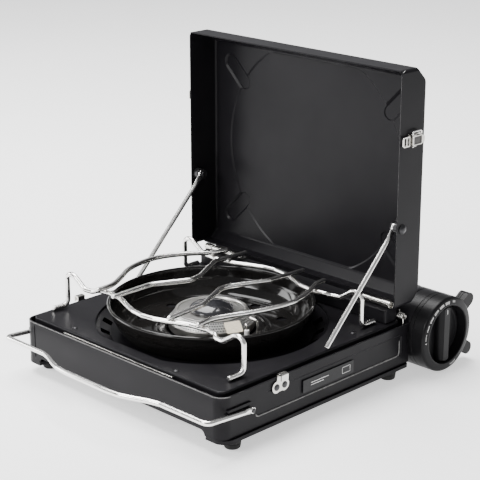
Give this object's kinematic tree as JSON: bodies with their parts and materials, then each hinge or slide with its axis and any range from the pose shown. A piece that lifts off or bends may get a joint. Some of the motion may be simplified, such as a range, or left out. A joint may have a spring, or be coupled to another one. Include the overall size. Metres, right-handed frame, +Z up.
{
  "type": "portable gas stove",
  "caption": "Briefcase-style camping gas stove with fold-up lid as wind shield, wire pot stand over an enamel bowl, side cartridge housing and bail handle.",
  "frame": {"origin": "middle of the whole object's footprint, on the surface that the feet stand on", "axes": "+X towards the cartridge housing, -Y towards the front with the dial and the catch, +Z up"},
  "size_m": [0.3884, 0.3162, 0.3195],
  "materials": {
    "black_paint": "satin black powder coat",
    "black_enamel": "glossy black vitreous enamel",
    "burner_steel": "satin stainless steel",
    "dark_cap": "smooth dark glazed cap",
    "cream_plate": "matte cream heat-conducting plate",
    "ceramic": "white ceramic insulator",
    "plain_steel": "zinc-plated pressed steel",
    "latch_steel": "bright nickel-plated steel",
    "bright_wire": "polished stainless wire",
    "black_plastic": "fine-grained black plastic",
    "foot_rubber": "black rubber"
  },
  "bodies": {
    "case": {"base_shell": "black_paint", "bottom_pan": "black_paint", "bowl": "black_enamel", "burner_base": "burner_steel", "burner_cap": "dark_cap", "burner_ring": "burner_steel", "cartridge_plate": "plain_steel", "catch_back": "latch_steel", "catch_front": "latch_steel", "control_ring": "black_plastic", "cover_pin": "plain_steel", "edge_strip": "plain_steel", "flame_sensor": "plain_steel", "foot_bl": "foot_rubber", "foot_br": "foot_rubber", "foot_fl": "foot_rubber", "foot_fr": "foot_rubber", "handle_rivet_back": "plain_steel", "handle_rivet_front": "plain_steel", "heat_plate": "cream_plate", "hinge_block": "black_paint", "hinge_leaf_back": "plain_steel", "hinge_leaf_front": "plain_steel", "hinge_pin_back": "plain_steel", "hinge_pin_front": "plain_steel", "hinge_spring": "plain_steel", "housing_back_cap": "black_paint", "housing_front_ring": "black_paint", "housing_trough": "black_paint", "igniter": "ceramic", "mixing_tube": "burner_steel", "name_plate": "black_plastic", "regulator": "plain_steel", "top_plate": "black_paint", "vent_ring": "black_paint"},
    "lid": {"lid_shell": "black_paint", "lid_leaf_front": "plain_steel", "lid_leaf_back": "plain_steel", "stay_rivet_front": "plain_steel", "stay_rivet_back": "plain_steel", "latch_base_front": "latch_steel", "latch_base_back": "latch_steel"},
    "stay_f": {"stay_front": "bright_wire"},
    "stay_b": {"stay_back": "bright_wire"},
    "lever_f": {"latch_lever_front": "latch_steel"},
    "claw_f": {"latch_claw_front": "latch_steel"},
    "lever_b": {"latch_lever_back": "latch_steel"},
    "claw_b": {"latch_claw_back": "latch_steel"},
    "bail": {"handle": "bright_wire"},
    "control": {"dial": "black_plastic"},
    "cover": {"housing_cover": "black_paint"},
    "pot_stand": {"trivet_bar_1": "bright_wire", "trivet_bar_2": "bright_wire", "trivet_bar_3": "bright_wire", "trivet_bar_4": "bright_wire", "trivet_rail_left": "bright_wire", "trivet_rail_right": "bright_wire"}
  },
  "joints": [
    {"name": "lid_fold", "type": "hinge", "parent": "case", "child": "lid", "pos_m": [0.0945, 0.00695, 0.0782], "axis": [0, -1, 0], "range_deg": [0, 90]},
    {"name": "stay_front_turn", "type": "hinge", "parent": "lid", "child": "stay_f", "pos_m": [0.0915, -0.12965, 0.1615], "axis": [0, 1, 0], "range_deg": [0, 130.1]},
    {"name": "stay_back_turn", "type": "hinge", "parent": "lid", "child": "stay_b", "pos_m": [0.0915, 0.14355, 0.1615], "axis": [0, 1, 0], "range_deg": [0, 130.1]},
    {"name": "lever_front_turn", "type": "hinge", "parent": "lid", "child": "lever_f", "pos_m": [0.097, -0.14365, 0.25], "axis": [0, 0, -1], "range_deg": [0, 80]},
    {"name": "claw_front_turn", "type": "hinge", "parent": "lever_f", "child": "claw_f", "pos_m": [0.099, -0.14195, 0.25], "axis": [0, 0, -1], "range_deg": [-80, 0]},
    {"name": "lever_back_turn", "type": "hinge", "parent": "lid", "child": "lever_b", "pos_m": [0.097, 0.15755, 0.25], "axis": [0, 0, 1], "range_deg": [0, 80]},
    {"name": "claw_back_turn", "type": "hinge", "parent": "lever_b", "child": "claw_b", "pos_m": [0.099, 0.15585, 0.25], "axis": [0, 0, 1], "range_deg": [-80, 0]},
    {"name": "handle_swing", "type": "hinge", "parent": "case", "child": "bail", "pos_m": [-0.118, 0.00695, 0.037], "axis": [0, -1, 0], "range_deg": [0, 28]},
    {"name": "dial_turn", "type": "hinge", "parent": "case", "child": "control", "pos_m": [0.1475, -0.14705, 0.0405], "axis": [0, -1, 0], "range_deg": [0, 95]},
    {"name": "cover_open", "type": "hinge", "parent": "case", "child": "cover", "pos_m": [0.14139, 0.00695, 0.07517], "axis": [0, -1, 0], "range_deg": [0, 65]},
    {"name": "pot_stand_lift", "type": "slide", "parent": "case", "child": "pot_stand", "axis": [0, 0, 1], "range_m": [0, 0.0045]}
  ],
  "couplings": [
    {"joint": "stay_front_turn", "follows": "lid_fold", "ratio": 1.445},
    {"joint": "stay_back_turn", "follows": "lid_fold", "ratio": 1.445},
    {"joint": "claw_front_turn", "follows": "lever_front_turn", "ratio": -1},
    {"joint": "claw_back_turn", "follows": "lever_back_turn", "ratio": -1}
  ]
}
